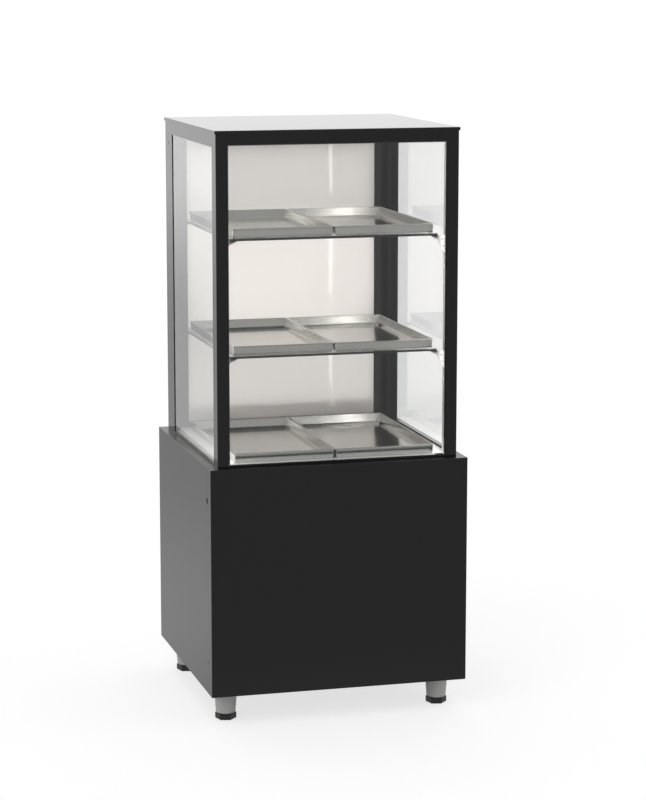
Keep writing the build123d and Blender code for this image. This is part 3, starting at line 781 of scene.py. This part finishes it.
def framed_strip(name, outline, low, high, across, face, outward):
    """Carries an outline round the rectangle from low to high in the plane square to one axis.

    Each outline point is (inward, out) in metres. At a corner of the rectangle it lies at
    the corner, plus inward along both sides, plus out along the plane's outward normal.
    The grid of points closes on itself both ways.
    """
    first, second = [axis for axis in range(3) if axis != across]
    side = np.array([(0, 0), (1, 0), (1, 1), (0, 1)])
    corner = np.zeros((4, 3))
    corner[:, across] = face
    corner[:, first] = np.where(side[:, 0] == 0, low[first], high[first])
    corner[:, second] = np.where(side[:, 1] == 0, low[second], high[second])
    pull = np.zeros((4, 3))
    pull[:, [first, second]] = 1 - 2 * side
    push = np.zeros(3)
    push[across] = outward
    inward, out = np.array(outline).T
    points = corner[:, None] + inward[None, :, None] * pull[:, None] + out[None, :, None] * push
    index, following = grid_index(points)
    faces = [index, following, np.roll(following, -1, axis=1), np.roll(index, -1, axis=1)]
    return new_piece(name, points, np.stack(faces, axis=-1).reshape(-1, 4).tolist())


print("one outline at each of 4 corners, joined by straight faces")

# %% [markdown]
# ## Glazing gaskets
# A bead of black rubber, 2.2 mm wide and 1.1 mm proud, closes the joint between each
# pane and its frame. It draws the fine dark line inside the posts and along the foot of
# each pane. Many panes have one on both faces; only the inner ones are made here,
# because the frame's lip covers the joint outside. The outline is a half circle,
# squeezed to that width and height, and made fuller than a circle, as a pressed bead is.

# %% Gaskets of the three fixed panes
gasket_width = 0.0022
gasket_height = 0.0011
gasket_fullness = 0.7
off_glass = 0.00002
pane_in_groove = 0.007
pane_below_lip = 0.0025
rear_bead_over_shade = 0.015

# Name, axis square to the pane, and the sign along it that points out of the case.
fixed_panes = (("glass_front", 1, -1), ("glass_left", 0, -1), ("glass_right", 0, 1))

turn = np.linspace(0, pi, 9)
bead_outline = np.column_stack([
    gasket_width * (1 - np.cos(turn)) / 2,
    gasket_height * np.sin(turn) ** gasket_fullness + off_glass,
])

for pane_name, across, outward in fixed_panes:
    low, high = (np.array(corner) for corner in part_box(pane_name))
    low, high = low + pane_in_groove, high - pane_in_groove
    low[2] += pane_below_lip - pane_in_groove
    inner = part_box(pane_name)[1 if outward < 0 else 0][across]
    # At the rear of the side panes the bead runs on past the pane onto the post: a dark strip laid
    # where the rear corner's gap is in shade, painted shade.
    if across == 0:
        high[1] += rear_bead_over_shade
    gasket = framed_strip(f"gasket_{pane_name}", bead_outline, low, high, across, inner, -outward)
    gasket.data.materials.append(rubber)
    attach(gasket, "cabinet")
print("3 gaskets of", len(bead_outline) * 4, "points each")

# %% [markdown]
# ## Door seal
# The seal is a rubber bellows: a flat foot on the door, two folds that give way, and a
# flat face that meets the frame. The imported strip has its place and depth, but no folds,
# and modifiers can't fold it. So the outline of the bellows is written down, half of it
# with the other half mirrored, and carried round the door as the gaskets are. It takes
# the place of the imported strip.

# %% Bellows round the door
millimetre = 0.001
seal_width = 3.0

seal_low, seal_high = (np.array(corner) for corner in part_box("door_seal"))
seal_depth = seal_high[1] - seal_low[1]
# Each point is millimetres inward and a share of the depth.
half = np.array([
    (0.0, 0.0), (0.0, 0.2), (0.55, 0.3), (0.1, 0.45),
    (0.1, 0.55), (0.55, 0.7), (0.2, 0.8), (0.2, 1.0),
])
other = half[::-1] * (-1, 1) + (seal_width, 0)
seal_outline = np.vstack([half, other]) * (millimetre, seal_depth)
door_seal = framed_strip("door_bellows", seal_outline, seal_low, seal_high, 1, seal_high[1], -1)
door_seal.data.materials.append(rubber)
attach(door_seal, "door")
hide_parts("door_seal")
print("seal stands", round(seal_depth * 1000, 2), "mm proud of the door")

# %% [markdown]
# ## Pressed trays with a wired edge
# A bakery tray is one steel blank, pressed so that its walls lean outwards and stack,
# with the edge rolled over a wire so that it can't cut a hand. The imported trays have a
# plain lip there. The eye reads the real edge by its bands of light: a bright line on
# the roll, a dark band where the leaning wall mirrors the black ledge, and a light one
# where it mirrors the deck. So each tray is made again as one section, from the middle
# of the underside round the wall and the roll to the middle of the floor.

# %% Section of a tray
wall = 0.0012
tray_height = 0.022
lean = np.tan(radians(5))
roll_radius = 0.0013
foot_radius = 0.003
rim_overhang = 0.0006
wall_meets_roll = 0.0193
roll_meets_inside = 0.0208


def wall_inset(height):
    """How far the outer face of the leaning wall lies inside the tray's rim at a height."""
    return wall + (tray_height - height) * lean


# Angles along the bend under the wall, over the roll, and along the bend inside it. The
# bends stop short of square, because the wall leans.
under = np.linspace(0, radians(84), 6)
over = np.radians(np.linspace(-70, 150, 15))
inside = np.linspace(radians(6), pi / 2, 6)
inside_radius = foot_radius - wall
foot_centre = wall_inset(foot_radius) + foot_radius
tray_section = np.concatenate([
    np.column_stack([
        foot_centre - foot_radius * np.sin(under),
        foot_radius * (1 - np.cos(under)),
    ]),
    [(wall_inset(wall_meets_roll), wall_meets_roll)],
    np.column_stack([
        roll_radius * (1 - np.cos(over)),
        tray_height - roll_radius * (1 - np.sin(over)),
    ]),
    [(wall + wall_inset(roll_meets_inside), roll_meets_inside)],
    np.column_stack([
        foot_centre - inside_radius * np.cos(inside),
        foot_radius - inside_radius * np.sin(inside),
    ]),
])
print(len(tray_section), "points in the section, roll", round(2000 * roll_radius, 1), "mm across")

# %% [markdown]
# Every point of the section travels along its own rounded rectangle: the sides lie at
# the point's inset, and each corner is a quarter circle whose radius shrinks with the
# inset, so the corners grow tighter inwards as pressed ones do. Four quarters times the
# section give one grid, worked out in one go. Unlike the strips, its two ends don't
# meet, so two flat faces close them: the underside and the floor. The edges between them
# and the bends stay smooth, and only what turns sharply is drawn as an edge.

# %% Trays
sharp_edge = radians(35)
corner_radius = 0.002
corner_steps = 6
radius_runs_out_at = 0.014


def capped_grid(name, points):
    """Makes a smooth piece from a grid that closes along its first axis.

    Two flat faces close the ends of its second axis.
    """
    index, following = grid_index(points)
    quads = [index[:, :-1], following[:, :-1], following[:, 1:], index[:, 1:]]
    ends = [index[::-1, 0].tolist(), index[:, -1].tolist()]
    piece = new_piece(name, points, np.stack(quads, axis=-1).reshape(-1, 4).tolist() + ends)
    piece.data.shade_smooth()
    piece.data.set_sharp_from_angle(angle=sharp_edge)
    return piece


def pressed_tray(name, low, high):
    """Carries the section along a rounded rectangle.

    Each point is the centre of its corner's quarter circle, plus the radius times the
    cosine of the angle along X and its sine along Y.
    """
    inset, height = tray_section.T
    radius = corner_radius * (1 - inset / radius_runs_out_at)
    angle = (np.linspace(0, pi / 2, corner_steps) + np.arange(4)[:, None] * pi / 2).ravel()
    signs = np.repeat([(1, 1), (-1, 1), (-1, -1), (1, -1)], corner_steps, axis=0)
    middle = (np.array(low[:2]) + high[:2]) / 2
    half = (np.array(high[:2]) - low[:2]) / 2 + rim_overhang
    points = np.empty((len(angle), len(inset), 3))
    for axis, turned in ((0, np.cos(angle)), (1, np.sin(angle))):
        reach = half[axis] - inset - radius
        points[..., axis] = middle[axis] + signs[:, axis, None] * reach + radius * turned[:, None]
    points[..., 2] = low[2] + height
    return capped_grid(name, points)


for level in ("bottom", "middle", "upper"):
    for word in ("left", "right"):
        low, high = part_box(f"tray_{level}_{word}")
        tray = pressed_tray(f"pressed_tray_{level}_{word}", low, high)
        tray.data.materials.append(tray_steel)
        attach(tray, f"{level}_{word}_tray")
        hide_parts(f"tray_{level}_{word}")
print("6 trays of", len(tray.data.polygons), "faces each")

# %% [markdown]
# ## Plugs over the upper flank screws
# Each flank of the base is held by two flush screws near its front edge. The upper one
# is hidden under a soft black plug, a dark spot on the grey flank. A squashed sphere
# would do, but it would carry its scale with it. So the plug is worked out as a flat
# dome: part of an ellipse, turned once about the screw, with its foot just inside the
# sheet.

# %% Screw plugs
plug_radius = 0.0075
plug_height = 0.0003
plug_sunk = 0.0002
plug_depth = -0.248
plug_level = 0.517
plug_sides = 24

angle = np.linspace(0, 2 * pi, plug_sides, endpoint=False)[:, None]
climb = np.linspace(0, radians(80), 6)
reach = plug_radius * np.append(1, np.cos(climb))
rise = np.append(-plug_sunk, plug_height * np.sin(climb))
for word, sign in (("left", -1), ("right", 1)):
    points = np.empty((plug_sides, len(reach), 3))
    points[..., 0] = sign * (cad_high[0] + rise)
    points[..., 1] = plug_depth + reach * np.cos(angle)
    points[..., 2] = plug_level + reach * np.sin(angle)
    plug = capped_grid(f"screw_plug_{word}", points)
    plug.data.materials.append(rubber)
    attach(plug, "cabinet")
print("2 plugs", 2000 * plug_radius, "mm across")

# %% [markdown]
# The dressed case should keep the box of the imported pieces. Only the two plugs reach
# past it, by their height at each side.

# %% Sizes and finish
low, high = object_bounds()
print("box grew by", [round(b - a, 5) for a, b in zip(cad_high, high)])
